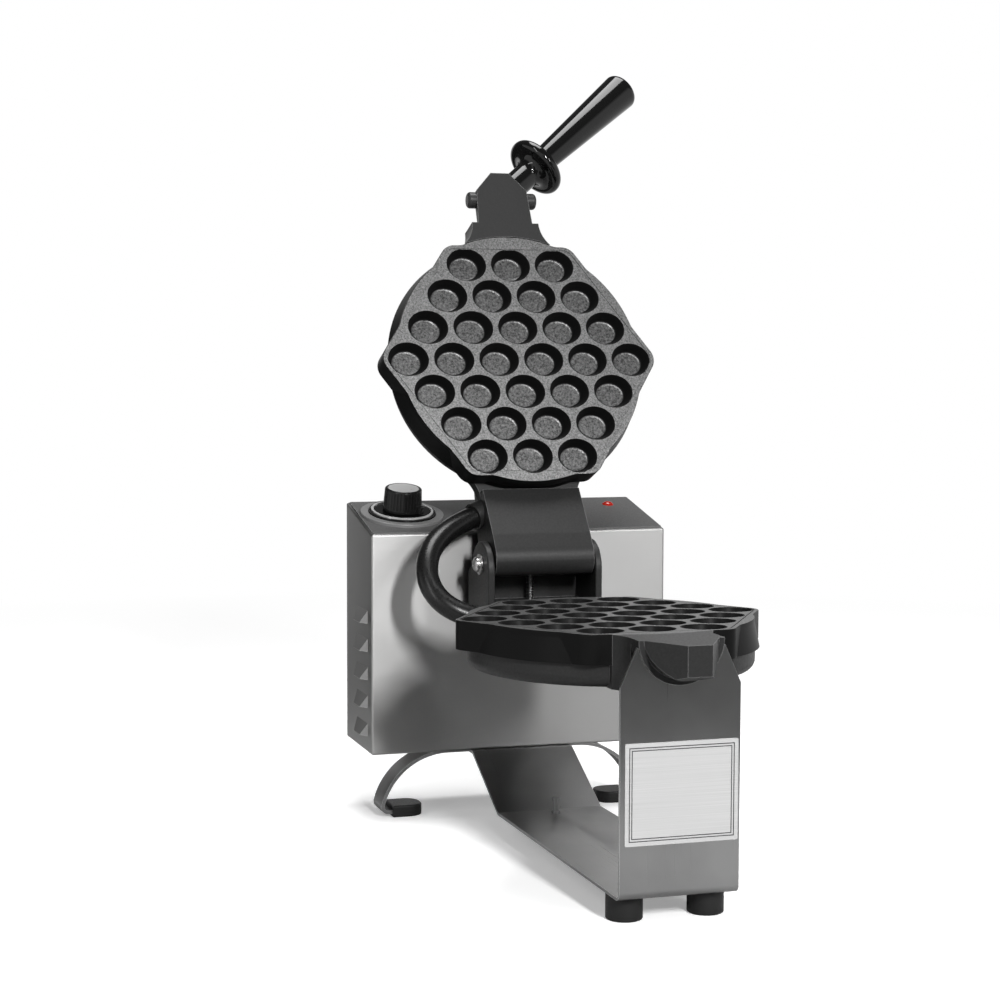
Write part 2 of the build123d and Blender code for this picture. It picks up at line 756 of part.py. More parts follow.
def stop_spring():
    """An open coil round the stop bolt."""
    low = floor_h + SPRING_WIRE
    high = stop_top - STOP_HEAD_H - SPRING_WIRE
    radius = SPRING_R - SPRING_WIRE / 2
    pitch = (high - low) / SPRING_TURNS
    steepness = math.atan2(pitch, 2 * math.pi * radius)
    edges = []
    quarters = SPRING_TURNS * 4
    for k in range(quarters):
        here = helix_point(radius, pitch, low, k / 4)
        there = helix_point(radius, pitch, low, (k + 1) / 4)
        edges += biarc(here, there, steepness)
    first, last = edges[0], edges[-1]
    start = Line(first @ 0 - (first % 0) * SPRING_WIRE, first @ 0)
    end = Line(last @ 1, last @ 1 + (last % 1) * SPRING_WIRE)
    path = Wire([start] + edges + [end])
    tube = sweep(Plane(origin=path @ 0, z_dir=path % 0) * Circle(SPRING_WIRE / 2), path=path)
    report_gap("stop spring", path, SPRING_WIRE)
    return Pos(0, -STOP_BACK, 0) * tube


def helix_point(radius, pitch, low, turn):
    """A place on a helix and the angle it has turned by."""
    angle = 2 * math.pi * turn
    return angle, Vector(radius * math.cos(angle), radius * math.sin(angle), low + pitch * turn)


def biarc(first, last, steepness):
    """Two arcs that leave and arrive along the helix and meet smoothly halfway."""
    (angle_a, a), (angle_b, b) = first, last
    flat, rise = math.cos(steepness), math.sin(steepness)
    ta = Vector(-math.sin(angle_a) * flat, math.cos(angle_a) * flat, rise)
    tb = Vector(-math.sin(angle_b) * flat, math.cos(angle_b) * flat, rise)
    chord = b - a
    both = ta + tb
    square = 2 * (1 - ta.dot(tb))
    reach = (-chord.dot(both) + math.sqrt(chord.dot(both) ** 2 + square * chord.dot(chord))) / square
    middle = (a + ta * reach + b - tb * reach) * 0.5
    leaving = TangentArc(a, middle, tangent=ta)
    return [leaving, TangentArc(middle, b, tangent=leaving % 1)]


def report_gap(name, path, wire):
    """Prints the least gap between a tube and itself, measured on points along it."""
    count = math.ceil(path.length / (wire / 2))
    spots = [path @ (k / count) for k in range(count + 1)]
    skip = math.ceil(wire * math.pi / (path.length / count))
    least = min((a - b).length for i, a in enumerate(spots) for b in spots[i + skip:])
    print(name, "least gap", round(least - wire, 2))


# Case


def case_block(inset, low_y, high_y, top_drop):
    """A block with the case's sloping top, drawn in by inset at its sides and bottom."""
    drop = top_drop / math.cos(math.radians(slope))
    points = [
        (low_y, GROUND_H + inset),
        (high_y, GROUND_H + inset),
        (high_y, case_top + high_y * CASE_RISE / CASE_D - drop),
        (low_y, case_top + low_y * CASE_RISE / CASE_D - drop),
    ]
    return side_profile(points, CASE_W / 2 - inset)


def louvre_solid(inset, wall):
    """A pressed hood on the +X side: flush at its top, proud and open at its bottom."""
    half = LOUVRE_H / 2
    outer = Polygon(
        (-wall, half - inset),
        (0, half - inset),
        (LOUVRE_OUT - inset, -half),
        (-wall, -half),
        align=None,
    )
    plan = Polygon(
        (-wall, inset),
        (0, inset),
        (LOUVRE_OUT - inset, LOUVRE_END),
        (LOUVRE_OUT - inset, LOUVRE_L - LOUVRE_END),
        (0, LOUVRE_L - inset),
        (-wall, LOUVRE_L - inset),
        align=None,
    )
    return extrude(Plane.XZ * outer, LOUVRE_L, dir=(0, 1, 0)) & extrude(plan, LOUVRE_H, both=True)


def louvre_places():
    for k in range(LOUVRES):
        yield Pos(CASE_W / 2, LOUVRE_FRONT, GROUND_H + LOUVRE_LOW + k * LOUVRE_PITCH)


def box_shell():
    body = case_block(0, 0, CASE_D, PANEL_T)
    rear = body.faces().sort_by(Axis.Y)[-1]
    rear_edges = rear.edges()
    body = fillet([e for e in body.edges() if e not in rear_edges], CASE_EDGE_R)
    hoods = [place * louvre_solid(0, SHEET) for place in louvre_places()]
    body += hoods
    body += [mirror(hood, about=Plane.YZ) for hood in hoods]
    body -= case_block(SHEET, SHEET, CASE_D - 2 * SHEET, PANEL_T + SHEET)
    body -= case_block(SHEET + COVER_FLANGE, SHEET, CASE_D, PANEL_T + SHEET + COVER_FLANGE)
    body -= case_block(SHEET, CASE_D - SHEET, CASE_D + OVERRUN, PANEL_T + SHEET)
    slots = [place * louvre_solid(LOUVRE_LIP, SHEET + OVERRUN) for place in louvre_places()]
    body -= slots
    body -= [mirror(slot, about=Plane.YZ) for slot in slots]
    body -= rod_y(bearing_out + SEAT, -OVERRUN, SHEET + OVERRUN, z=AXIS_H)
    body -= [rod_y(FIX_R + SEAT, -OVERRUN, SHEET + OVERRUN, x, z) for x, z in bearing_places()]
    body -= panel_plane * rod_z(LAMP_BODY_R + SEAT, -SHEET - OVERRUN, OVERRUN, lamp_x, lamp_s)
    body -= panel_plane * rod_z(THERMO_NECK_R + SEAT, -SHEET - OVERRUN, OVERRUN, dial_x, dial_s)
    low, high = GROUND_H - OVERRUN, GROUND_H + SHEET + OVERRUN
    body -= [rod_z(FIX_R + SEAT, low, high, x, y) for x, y in floor_places()]
    body -= [rod_y(FIX_R + SEAT, CASE_D - SHEET - OVERRUN, CASE_D, x, z) for x, z in cover_places()]
    return body


def bearing_places():
    for sx in (-1, 1):
        for sz in (-1, 1):
            yield sx * FLANGE_BOLT, AXIS_H + sz * FLANGE_BOLT


def floor_places():
    """Screws up through the bracket, and two that also hold the leg strap."""
    for sx in (-1, 1):
        yield sx * BRACKET_SCREW_X, BRACKET_SCREW_FRONT
        yield sx * BRACKET_SCREW_X, BRACKET_SCREW_REAR
        yield sx * LEG_SCREW_X, LEG_MID_Y


def cover_places():
    side = CASE_W / 2 - SHEET - COVER_SCREW_IN
    low = GROUND_H + SHEET + COVER_SCREW_IN
    high = case_top + CASE_RISE - PANEL_T - 2 * SHEET - COVER_SCREW_IN
    for sx in (-1, 1):
        for z in (low, (low + high) / 2, high):
            yield sx * side, z


def rear_cover():
    plate = case_block(SHEET + GAP / 2, CASE_D - SHEET + SEAT, CASE_D, PANEL_T + SHEET + GAP / 2)
    for k in range(VENTS):
        for side in (0, 1):
            z = AXIS_H - VENT_PITCH * (k - (VENTS - 1) / 2)
            x = side * (VENT_L + VENT_PITCH) + VENT_L / 2
            slot = extrude(Plane.XZ * (Pos(x, z) * SlotOverall(VENT_L, VENT_W)), -CASE_D - OVERRUN)
            plate -= slot
    plate -= rod_y(GLAND_NECK_R + SEAT, 0, CASE_D + OVERRUN, gland_x, GROUND_H + GLAND_UP)
    plate -= [rod_y(FIX_R + SEAT, 0, CASE_D + OVERRUN, x, z) for x, z in cover_places()]
    return plate


def cover_screws():
    one = Rot(-90, 0, 0) * screw(FIX_HEAD_R, FIX_HEAD_H, FIX_R, FIX_L)
    return Compound(children=[Pos(x, CASE_D, z) * one for x, z in cover_places()])


def cable_gland():
    """The inlet for the mains cord, with its bore right through."""
    body = rod_y(GLAND_R, CASE_D, CASE_D + GLAND_L)
    body = fillet(body.edges().group_by(Axis.Y)[-1], GLAND_EDGE_R)
    body += rod_y(GLAND_NECK_R, CASE_D - SHEET - GLAND_NUT_T - OVERRUN, CASE_D)
    body -= rod_y(CORD_HOLE_R, 0, CASE_D + GLAND_L + OVERRUN)
    return Pos(gland_x, 0, GROUND_H + GLAND_UP) * body


def gland_nut():
    face = RegularPolygon(GLAND_NUT_R, 6) - Circle(GLAND_NECK_R + SEAT)
    nut = extrude(Plane.XZ * face, GLAND_NUT_T)
    return Pos(gland_x, CASE_D - SHEET, GROUND_H + GLAND_UP) * nut


def terminal_block():
    low = (terminal_x - TERMINAL_L / 2, TERMINAL_Y, GROUND_H + SHEET)
    high = (terminal_x + TERMINAL_L / 2, TERMINAL_Y + TERMINAL_W, GROUND_H + SHEET + TERMINAL_H)
    body = bar(low, high)
    bottom = GROUND_H + SHEET + TERMINAL_H / 2
    for k in range(TERMINALS):
        x = terminal_x + (k - (TERMINALS - 1) / 2) * TERMINAL_L / TERMINALS
        body -= rod_z(FIX_R, bottom, high[2] + OVERRUN, x, TERMINAL_Y + TERMINAL_W / 2)
    return body


def top_panel():
    side = CASE_W / 2 - PANEL_INSET
    plate = bar((-side, PANEL_INSET, -PANEL_T), (side, slope_l - PANEL_INSET, 0))
    plate = fillet(plate.edges().filter_by(Axis.Z), PANEL_R)
    plate -= rod_z(LAMP_BODY_R + SEAT, -OVERRUN, OVERRUN, lamp_x, lamp_s)
    plate -= rod_z(THERMO_NECK_R + SEAT, -OVERRUN, OVERRUN, dial_x, dial_s)
    return panel_plane * plate


# Control panel


def ring(outer, inner, low, high):
    return rod_z(outer, low, high) - rod_z(inner, low - OVERRUN, high + OVERRUN)


def dial(shape):
    return panel_plane * (Pos(dial_x, dial_s, 0) * shape)


def dial_ring():
    body = ring(DIAL_R, DIAL_GROOVE_R, 0, DIAL_T)
    return dial(fillet(body.edges().group_by(Axis.Z)[-1], DIAL_EDGE_R))


def dial_disc():
    return dial(ring(DISC_BLACK_R, THERMO_NECK_R + SEAT, 0, DISC_BLACK_T))


def dial_bead():
    return dial(ring(BEAD_R + BEAD_W, BEAD_R - BEAD_W, DISC_BLACK_T, DISC_BLACK_T + BEAD_W))


def thermostat_body():
    top = -PANEL_T - SHEET
    body = bar((-THERMO_HALF, -THERMO_HALF, top - THERMO_T), (THERMO_HALF, THERMO_HALF, top))
    body += rod_z(THERMO_NECK_R, top, DISC_BLACK_T)
    return dial(body - rod_z(SPINDLE_R + RUNNING, -SPINDLE_IN - GAP, DISC_BLACK_T + OVERRUN))


def thermostat_spindle():
    return dial(rod_z(SPINDLE_R, -SPINDLE_IN, SPINDLE_UP))


def knob():
    base = DISC_BLACK_T + KNOB_LIFT
    top = base + KNOB_H
    body = turned([(0, base), (KNOB_R, base), (KNOB_TOP_R, top), (0, top)])
    body = fillet(body.edges().group_by(Axis.Z)[-1], KNOB_EDGE_R)
    lean = math.degrees(math.atan2(KNOB_R - KNOB_TOP_R, KNOB_H))
    groove = Rot(0, -lean, 0) * rod_z(KNOB_RIB_R, 0, KNOB_H + OVERRUN)
    groove = Pos(KNOB_R, 0, base + KNOB_RIB_START) * groove
    body -= [Rot(0, 0, 360 * k / KNOB_RIBS) * groove for k in range(KNOB_RIBS)]
    tail = bar((0, -TAIL_W / 2, base), (KNOB_R + TAIL_L, TAIL_W / 2, base + TAIL_H))
    tail = fillet(tail.edges().filter_by(Axis.Z).group_by(Axis.X)[-1], TAIL_R)
    body += Rot(0, 0, TAIL_TURN) * tail
    body -= rod_z(SPINDLE_R + SEAT, base - OVERRUN, SPINDLE_UP)
    body -= rod_z(KNOB_INLAY_R + SEAT, top - KNOB_INLAY_T, top + OVERRUN)
    return dial(body)


def knob_inlay():
    top = DISC_BLACK_T + KNOB_LIFT + KNOB_H
    disc = rod_z(KNOB_INLAY_R, top - KNOB_INLAY_T, top)
    mark = bar((KNOB_INLAY_R / 2, -MARK_W / 2, top - MARK_DEPTH), (KNOB_INLAY_R, MARK_W / 2, top + OVERRUN))
    return dial(disc - Rot(0, 0, TAIL_TURN) * mark)


def lamp_lens():
    ball_r = (LAMP_R**2 + LAMP_DOME**2) / (2 * LAMP_DOME)
    dome = Pos(lamp_x, lamp_s, LAMP_DOME - ball_r) * Sphere(ball_r)
    return panel_plane * (dome & rod_z(LAMP_R + OVERRUN, 0, LAMP_DOME + OVERRUN, lamp_x, lamp_s))


def lamp_body():
    return panel_plane * rod_z(LAMP_BODY_R, -LAMP_BODY_L, 0, lamp_x, lamp_s)


# Bearing


def bearing_housing():
    plate = bar((-FLANGE_HALF, -FLANGE_T, -FLANGE_HALF), (FLANGE_HALF, 0, FLANGE_HALF))
    plate = fillet(plate.edges().filter_by(Axis.Y), FLANGE_HALF - FLANGE_BOLT)
    plate += rod_y(bearing_out, 0, BUSH_L - FLANGE_T)
    plate -= rod_y(bush_out + SEAT, -CASE_D, CASE_D)
    plate = Pos(0, 0, AXIS_H) * plate
    return plate - [rod_y(FIX_R + SEAT, -CASE_D, CASE_D, x, z) for x, z in bearing_places()]


def bearing_bush():
    bush = rod_y(bush_out, -FLANGE_T, BUSH_L - FLANGE_T) - rod_y(SHAFT_R + RUNNING, -CASE_D, CASE_D)
    return Pos(0, 0, AXIS_H) * bush


def bearing_screws():
    one = Rot(90, 0, 0) * screw(FIX_HEAD_R, FIX_HEAD_H, FIX_R, FIX_L)
    return Compound(children=[Pos(x, -FLANGE_T, z) * one for x, z in bearing_places()])


def flip_shaft():
    shaft = rod_y(SHAFT_R, cheek_rear + OVERRUN, SHAFT_IN) - rod_y(SHAFT_BORE_R, -CASE_D, CASE_D)
    return Pos(0, 0, AXIS_H) * shaft


def shaft_collar():
    start = BUSH_L - FLANGE_T + GAP
    collar = rod_y(SHAFT_R + COLLAR_T, start, start + COLLAR_W) - rod_y(SHAFT_R + SEAT, -CASE_D, CASE_D)
    return Pos(0, 0, AXIS_H) * collar


# Front bracket


def strip(route, width, thick):
    """A flat strip swept along a route that lies in an upright plane."""
    start = Plane(origin=route @ 0, x_dir=(1, 0, 0), z_dir=route % 0)
    return sweep(start * Rectangle(width, thick), path=route)


def front_bracket():
    half = BRACKET_T / 2
    front = -bracket_front + half
    horn_h = AXIS_H - HORN_DROP
    shoulder_h = AXIS_H - SHOULDER_DROP
    route = FilletPolyline(
        (0, front, horn_h),
        (0, front, BRACKET_GROUND + half),
        (0, -BRACKET_BEND, BRACKET_GROUND + half),
        (0, -BRACKET_TOP_BEND, GROUND_H - half),
        (0, BRACKET_TAIL, GROUND_H - half),
        radius=BEND_R + half,
    )
    body = strip(route, BRACKET_W, BRACKET_T)
    edge = BRACKET_W / 2
    for side in (-1, 1):
        corner = Polygon(
            (side * edge, shoulder_h),
            (side * (edge + OVERRUN), shoulder_h),
            (side * (edge + OVERRUN), horn_h + OVERRUN),
            (side * HORN_X, horn_h + OVERRUN),
            (side * HORN_X, horn_h),
            align=None,
        )
        body -= Pos(0, front, 0) * extrude(Plane.XZ * corner, BRACKET_T, both=True)
    body -= rod_y(JOURNAL_R + NOTCH_CLEAR, front - BRACKET_T, front + BRACKET_T, z=AXIS_H)
    body -= [rod_z(FIX_R + SEAT, 0, AXIS_H, x, -foot_back) for x in (-FOOT_X, FOOT_X)]
    body -= [rod_z(FIX_R + SEAT, BRACKET_GROUND, AXIS_H, x, y) for x, y in floor_places()]
    return body - rod_z(STUD_R + SEAT, 0, GROUND_H, 0, -STUD_BACK)


def floor_screws(places, seat):
    one = Rot(180, 0, 0) * screw(FIX_HEAD_R, FIX_HEAD_H, FIX_R, FIX_L + NUT_T)
    return Compound(children=[Pos(x, y, seat) * one for x, y in places])


def floor_nuts():
    nut = extrude(RegularPolygon(NUT_R, 6) - Circle(FIX_R + SEAT), NUT_T)
    return Compound(children=[Pos(x, y, GROUND_H + SHEET) * nut for x, y in floor_places()])


def label_plate():
    face = RectangleRounded(LABEL_W, LABEL_H, LABEL_R)
    plate = extrude(face, LABEL_T)
    for k in range(2):
        inset = LABEL_LINE_IN + k * LABEL_LINE_STEP
        outer = Rectangle(LABEL_W - 2 * inset, LABEL_H - 2 * inset)
        inner = Rectangle(LABEL_W - 2 * inset - 2 * LABEL_LINE_W, LABEL_H - 2 * inset - 2 * LABEL_LINE_W)
        plate -= Pos(0, 0, LABEL_T - LABEL_LINE_DEPTH) * extrude(outer - inner, LABEL_T)
    middle = (LABEL_X, -bracket_front, LABEL_LOW + LABEL_H / 2)
    return Plane(origin=middle, x_dir=(1, 0, 0), z_dir=(0, -1, 0)) * plate


def front_feet():
    foot = fillet(rod_z(FOOT_R, 0, BRACKET_GROUND).edges().filter_by(GeomType.CIRCLE), FOOT_EDGE_R)
    foot -= rod_z(FIX_R + SEAT, BRACKET_GROUND - FIX_L, BRACKET_GROUND + OVERRUN)
    return Compound(children=[Pos(side * FOOT_X, -foot_back, 0) * foot for side in (-1, 1)])


def foot_screws():
    one = screw(FIX_HEAD_R, FIX_HEAD_H, FIX_R, FIX_L)
    seat = BRACKET_GROUND + BRACKET_T
    return Compound(children=[Pos(side * FOOT_X, -foot_back, seat) * one for side in (-1, 1)])


def bracket_stud():
    seat = BRACKET_GROUND + BRACKET_T
    body = rod_z(STUD_R, BRACKET_GROUND, seat + STUD_H)
    body += rod_z(STUD_HEAD_R, seat + STUD_H, seat + STUD_H + STUD_HEAD_H)
    body += rod_z(STUD_NUT_R, seat, seat + STUD_NUT_T)
    return Pos(0, -STUD_BACK, 0) * body


# Rear legs


def leg_route(side):
    """From the middle under the case, out, round and down to a short foot turned inward."""
    top = GROUND_H - BRACKET_T - LEG_T / 2
    bow = (side * leg_flat, top - LEG_R)
    toe_z = LEG_FOOT_H + LEG_TOE_R
    between = LEG_R - LEG_TOE_R
    toe_x = side * (leg_flat + math.sqrt(between**2 - (toe_z - bow[1]) ** 2))
    turn = math.asin((toe_z - bow[1]) / between)
    meet = (bow[0] + side * LEG_R * math.cos(turn), bow[1] + LEG_R * math.sin(turn))
    half = (math.pi / 2 + turn) / 2
    over = (bow[0] + side * LEG_R * math.cos(half), bow[1] + LEG_R * math.sin(half))
    low = (turn - math.pi / 2) / 2
    under = (toe_x + side * LEG_TOE_R * math.cos(low), toe_z + LEG_TOE_R * math.sin(low))
    end = (toe_x - side * LEG_FOOT, LEG_FOOT_H)
    spots = [(0, top), (bow[0], top), over, meet, under, (toe_x, LEG_FOOT_H), end]
    a, b, c, d, e, f, g = [(x, LEG_MID_Y, z) for x, z in spots]
    return Wire([Line(a, b), ThreePointArc(b, c, d), ThreePointArc(d, e, f), Line(f, g)])


def leg_half(side, spare):
    route = leg_route(side)
    plane = Plane(origin=route @ 0, x_dir=(0, 1, 0), z_dir=route % 0)
    return sweep(plane * Rectangle(LEG_W + 2 * spare, LEG_T + 2 * spare), path=route)


def rear_leg_strap():
    body = leg_half(-1, 0) + leg_half(1, 0)
    return body - [rod_z(FIX_R + SEAT, 0, GROUND_H, x, y) for x, y in floor_places()]


def leg_sleeve(side):
    """The rubber sleeve pushed over a leg's foot, round at its inner end."""
    inner = sleeve_out - SLEEVE_L
    half = SLEEVE_W / 2
    body = bar((side * inner, LEG_MID_Y - half, 0), (side * sleeve_out, LEG_MID_Y + half, SLEEVE_H))
    upright = body.edges().filter_by(Axis.Z).sort_by(lambda e: abs(e.center().X))
    body = fillet(upright[:2], SLEEVE_CORNER)
    body = fillet(body.edges().group_by(Axis.Z)[-1] + body.edges().group_by(Axis.Z)[0], SLEEVE_EDGE_R)
    return body - leg_half(side, SEAT)


# Conduit


def corner_radii(points):
    """For each corner, the arc that takes the same share of its shorter neighbour run."""
    radii = []
    spots = [Vector(*p) for p in points]
    for a, b, c in zip(spots, spots[1:], spots[2:]):
        turn = math.radians((b - a).get_angle(c - b))
        radii.append(ARC_SHARE * min((b - a).length, (c - b).length) / math.tan(turn / 2))
    return radii


def hose():
    radii = corner_radii(hose_points)
    path = FilletPolyline(*hose_points, radius=radii)
    tube = sweep(Plane(origin=path @ 0, z_dir=path % 0) * Circle(HOSE_R), path=path)
    print("hose radii", [round(r, 1) for r in radii], "length", round(path.length, 1))
    print("hose volume share", round(tube.volume / (math.pi * HOSE_R**2 * path.length), 4))
    return tube


def hose_collar(near, far, face_x):
    """A ring on a housing's side round the end of the conduit, near being the end itself."""
    way = (Vector(*far) - Vector(*near)).normalized()
    outer = HOSE_R + GAP + HOSE_COLLAR_T
    body = Plane(origin=near, z_dir=way) * ring(outer, HOSE_R + GAP, -outer, HOSE_COLLAR_L)
    low, high = (near[1] - 2 * outer, near[2] - 2 * outer), (near[1] + 2 * outer, near[2] + 2 * outer)
    return body - bar((face_x, *low), (0, *high))


def build():
    keep("box_shell", box_shell())
    keep("rear_cover", rear_cover())
    keep("cover_screws", cover_screws())
    keep("cable_gland", cable_gland())
    keep("gland_nut", gland_nut())
    keep("terminal_block", terminal_block())
    keep("top_panel", top_panel())
    keep("dial_ring", dial_ring())
    keep("dial_disc", dial_disc())
    keep("dial_bead", dial_bead())
    keep("thermostat_body", thermostat_body())
    keep("thermostat_spindle", thermostat_spindle())
    keep("knob", knob())
    keep("knob_inlay", knob_inlay())
    keep("lamp_lens", lamp_lens())
    keep("lamp_body", lamp_body())
    keep("bearing_housing", bearing_housing())
    keep("bearing_bush", bearing_bush())
    keep("bearing_screws", bearing_screws())
    keep("flip_shaft", flip_shaft())
    keep("shaft_collar", shaft_collar())
    keep("front_bracket", front_bracket())
    places = list(floor_places())
    leg_places = [p for p in places if abs(p[0]) == LEG_SCREW_X]
    bracket_places = [p for p in places if abs(p[0]) == BRACKET_SCREW_X]
    keep("bracket_screws", floor_screws(bracket_places, GROUND_H - BRACKET_T))
    keep("leg_screws", floor_screws(leg_places, GROUND_H - BRACKET_T - LEG_T))
    keep("floor_nuts", floor_nuts())
    keep("label_plate", label_plate())
    keep("front_feet", front_feet())
    keep("foot_screws", foot_screws())
    keep("bracket_stud", bracket_stud())
    keep("rear_leg_strap", rear_leg_strap())
    keep("leg_sleeve_left", leg_sleeve(-1))
    keep("leg_sleeve_right", leg_sleeve(1))
    keep("lower_housing", lower_housing())
    mould_shape = mould()
    element_shape = element()
    screws_shape = mould_screws()
    keep("lower_plate", lower_plane * mould_shape)
    keep("lower_element", lower_plane * element_shape)
    keep("lower_plate_screws", lower_plane * screws_shape)
    keep("hinge_pin", hinge_pin())
    keep("hinge_pin_screws", hinge_pin_screws())
    keep("hinge_washers", hinge_washers())
    keep("stop_bolt", stop_bolt())
    keep("stop_spring", stop_spring())
    keep("hose", hose())
    keep("hose_collar_lower", hose_collar(hose_points[-1], hose_points[-2], -cheek_out))
    keep("upper_housing", upper_housing())
    upper_ring = hose_collar(hose_points[0], hose_points[1], -ARM_HALF)
    keep("hose_collar_upper", upper_ring - nodes["upper_housing"])
    keep("upper_plate", upper_plane * mould_shape)
    keep("upper_element", upper_plane * element_shape)
    keep("upper_plate_screws", upper_plane * screws_shape)
    keep("handle_cross_pin", cross_pin())
    keep("handle_rod", handle_plane * rod_z(HANDLE_ROD_R, -HANDLE_ROD_IN, HANDLE_ROD_OUT))
    keep("handle_guard", handle_guard())
    keep("handle_grip", handle_grip())


build()

boxes = [shape.bounding_box() for shape in nodes.values()]
low_x, high_x = min(b.min.X for b in boxes), max(b.max.X for b in boxes)
low_y, high_y = min(b.min.Y for b in boxes), max(b.max.Y for b in boxes)
low_z = min(b.min.Z for b in boxes)
to_origin = Pos(-(low_x + high_x) / 2, -(low_y + high_y) / 2, -low_z)
print("shift", to_origin.position)
for name, shape in nodes.items():
    export_step(to_origin * shape, f"parts/{name}.step")
print("nodes", len(nodes))
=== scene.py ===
import math

import bpy
from mathutils import Matrix, Vector


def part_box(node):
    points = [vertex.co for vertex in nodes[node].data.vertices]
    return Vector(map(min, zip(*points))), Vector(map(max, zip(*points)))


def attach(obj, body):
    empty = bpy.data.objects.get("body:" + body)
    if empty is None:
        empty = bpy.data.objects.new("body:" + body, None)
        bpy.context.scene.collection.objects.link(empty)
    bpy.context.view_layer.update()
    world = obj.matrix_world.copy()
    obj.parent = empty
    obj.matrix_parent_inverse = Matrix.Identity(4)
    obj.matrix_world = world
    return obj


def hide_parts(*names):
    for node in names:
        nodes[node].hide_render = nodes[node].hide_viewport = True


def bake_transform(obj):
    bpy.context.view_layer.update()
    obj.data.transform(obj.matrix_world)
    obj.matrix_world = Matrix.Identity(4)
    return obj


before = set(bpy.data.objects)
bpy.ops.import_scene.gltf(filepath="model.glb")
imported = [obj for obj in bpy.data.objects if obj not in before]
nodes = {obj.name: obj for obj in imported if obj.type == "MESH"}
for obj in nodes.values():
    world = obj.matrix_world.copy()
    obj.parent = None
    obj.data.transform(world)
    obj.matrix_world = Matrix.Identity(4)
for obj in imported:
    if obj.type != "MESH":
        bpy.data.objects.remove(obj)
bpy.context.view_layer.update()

# This dresses the bubble waffle maker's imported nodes, puts a smooth conduit in the hose's
# place, prints the label's frame, and sets up the studio and the photograph's camera.

MM = 0.001

# Places given in millimetres are as in part.py: x from the machine's centre line,
# y from the case's front face, z from the table. ORIGIN is that point in the row frame.
shaft_low, shaft_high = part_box("flip_shaft")
case_low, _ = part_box("box_shell")
ORIGIN = Vector(((shaft_low.x + shaft_high.x) / 2, case_low.y, 0.0))


def at(place):
    """A place in millimetres from part.py as metres in the row frame."""
    return ORIGIN + Vector(place) * MM


def grey(value):
    return (value, value, value)


WHITE = (1.0, 1.0, 1.0, 1.0)
BLACK = grey(0.0)
UP = Vector((0.0, 0.0, 1.0))

# The photograph's camera: its place in millimetres, and where it looks
CAMERA_AT = (-469.12, -1437.06, 343.6)
CAMERA_AZIMUTH_DEGREES = -17.474
CAMERA_ELEVATION_DEGREES = 4.012
CAMERA_ROLL_DEGREES = 0.174
LENS_MM = 73.11
SENSOR_MM = 36.0
CLIP_START = 0.05
CLIP_END = 100.0

# The conduit: its radius, length and route from the lid's arm to the lower half, in millimetres
CONDUIT_R = 7.9
CONDUIT_POINTS = (
    (-40.8, -19.2, 228.2),
    (-55.0, -23.5, 223.4),
    (-72.5, -34.5, 215.2),
    (-85.5, -47.5, 203.7),
    (-90.0, -60.5, 186.2),
    (-82.5, -72.5, 171.2),
    (-64.0, -79.5, 161.7),
    (-46.6, -78.6, 158.5),
)
CURVE_STEPS = 12
TUBE_STEPS = 8
CURVE_ORDER = 3

# The printed lines on the label plate, in metres: their width, how far in from the plate's
# edges they lie, and how far they stand out
LINE_WIDTH = 0.0005
LINE_INSETS = (0.0026, 0.0042)
LINE_PROUD = 0.00008

# How far the lid leans back from upright at rest, and where its plate faces
LID_LEAN = math.radians(21.5)
LID_FACE = Vector((0.0, -math.cos(LID_LEAN), math.sin(LID_LEAN)))


# Materials. A scale is in features a metre, and a height or a width is in metres. A pair named
# _SPAN is the part of a value's range that is spread out, and one named _SHARES holds
# multiples of the roughness.

NOISE_SPAN = (0.3, 0.7)
WHOLE_SPAN = (0.0, 1.0)
EDGE_SPAN = (0.86, 0.99)
EDGE_SAMPLES = 4

# A scale along each axis, for lines that run along x, or along the bracket's and the legs' length
ALONG_X = (4, 1500, 1500)
ALONG_LENGTH = (1500, 4, 4)
ALONG_LABEL = (6, 1500, 1500)
# The highlight's turn, in whole turns
LEVEL_LINES, UPRIGHT_LINES = 0.25, 0.0

BRUSH_DETAIL = {"detail": 3.0, "roughness": 0.7}
BRUSH_STRENGTH = 0.5
BRUSH_SHARES = (0.94, 1.06)
CLOUD_SCALE = (14, 14, 14)
# A painted highlight along the brushed sheets' sharp edges: how wide it is and its pale tone
EDGE_HIGHLIGHT_WIDTH = 0.0006
EDGE_HIGHLIGHT_TONE = grey(0.85)

CAST_DETAIL = {"detail": 4.0, "roughness": 0.65}
CAST_SPECULAR = 0.2
CAST_STRENGTH = 0.6
CAST_SHARES = (1.15, 0.85)
CAST_PALER = 1.5

COAT_DETAIL = {"detail": 3.0, "roughness": 0.85}
COAT_FINE_SCALE = (760, 760, 760)
COAT_COARSE_SCALE = (560, 560, 560)
COAT_WEB = {"low": grey(0.05), "high": grey(0.21), "span": (0.34, 0.66)}
# The floors' speckle, darker than the web's: painted shade in the cavities
COAT_SHADED_FLOOR = {"low": grey(0.025), "high": grey(0.19), "span": (0.36, 0.76)}
# Near black on the sides: the skirts' own dark coat, and painted shade on the cavities' walls
COAT_SIDE_AND_WALL_SHADE_TONE = grey(0.006)
# How far below the plate's face the floor's speckle ends and the web's is full
COAT_FLOOR_BELOW, COAT_WEB_BELOW = 0.004, 0.001
# How squarely a surface faces along the plate's direction, from side to face. The pairs after
# it are a value on the sides and on the faces.
COAT_FACING_SPAN = (0.80, 0.97)
COAT_ROUGH = (0.38, 0.39)
COAT_METALLIC = (0.0, 0.7)
COAT_SPECULAR = (0.04, 0.15)
COAT_HEIGHT = 0.0003
COAT_STRENGTH = 0.5

MOULDED_STRENGTH = 0.3
MOULDED_SHARES = (0.85, 1.2)

